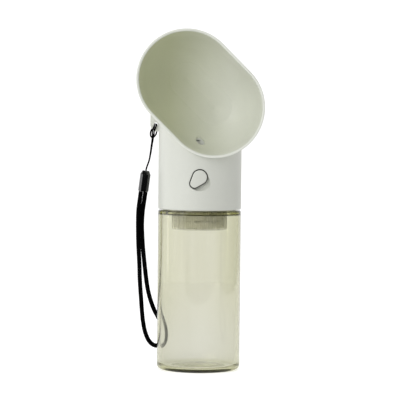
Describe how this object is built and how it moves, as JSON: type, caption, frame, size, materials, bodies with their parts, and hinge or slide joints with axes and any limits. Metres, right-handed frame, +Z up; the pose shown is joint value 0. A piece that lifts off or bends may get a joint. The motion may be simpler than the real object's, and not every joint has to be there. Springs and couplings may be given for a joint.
{
  "type": "dog travel water bottle",
  "caption": "Travel water bottle for dogs: a clear bottle with a screw-on head that carries a slanting obround drinking bowl, a lockable push valve and a filter.",
  "frame": {"origin": "on the bottle's axis, in the plane of the base ring that it stands on", "axes": "+Z up along the bottle's axis, the bowl's mouth and the button face -Y, +X to the right as seen from the front"},
  "size_m": [0.1008, 0.0695, 0.2698],
  "materials": {
    "shell": "satin",
    "bottle_clear": "gloss",
    "filter_plastic": "gloss",
    "filter_granules": "rough",
    "fleece": "matte",
    "white_plastic": "satin",
    "silicone": "matte",
    "steel": "satin",
    "black_cord": "matte",
    "black_gloss": "gloss"
  },
  "bodies": {
    "bottle": {"bottle": "bottle_clear"},
    "gasket": {"neck_gasket": "silicone"},
    "head": {"head_shell": "shell", "inner_cap": "shell", "outlet_tube": "silicone", "valve_body": "white_plastic", "valve_cover": "white_plastic", "cover_seal": "silicone", "stem_seal": "silicone", "inlet_seal": "silicone", "valve_screws": "steel", "valve_spring": "steel", "lanyard_string": "black_cord", "lanyard_crimp": "black_gloss", "lanyard_loop": "black_cord"},
    "plunger": {"valve_stem": "white_plastic", "valve_washer": "silicone"},
    "button": {"button": "shell"},
    "filter": {"filter_case": "filter_plastic", "filter_lid": "filter_plastic", "filter_media": "filter_granules", "filter_fleece": "fleece", "filter_seal": "silicone"}
  },
  "joints": [
    {"name": "head_rise", "type": "slide", "parent": "bottle", "child": "gasket", "axis": [0, 0, 1], "range_m": [0, 0.00625]},
    {"name": "head_turn", "type": "hinge", "parent": "gasket", "child": "head", "pos_m": [0, 0, 0.14], "axis": [0, 0, 1], "range_deg": [0, 450.02]},
    {"name": "button_press", "type": "slide", "parent": "head", "child": "plunger", "axis": [0, 1, 0], "range_m": [0, 0.0018], "stiffness_N_per_m": 900, "springref_m": -0.001, "deforming": ["valve_spring"]},
    {"name": "button_lock", "type": "hinge", "parent": "plunger", "child": "button", "pos_m": [0, -0.0332, 0.154], "axis": [0, -1, 0], "range_deg": [0, 80]},
    {"name": "filter_pull", "type": "slide", "parent": "head", "child": "filter", "axis": [0, 0, -1], "range_m": [0, 0.016]}
  ],
  "couplings": [
    {"joint": "head_turn", "follows": "head_rise", "rad_per_m": 1256.6}
  ]
}
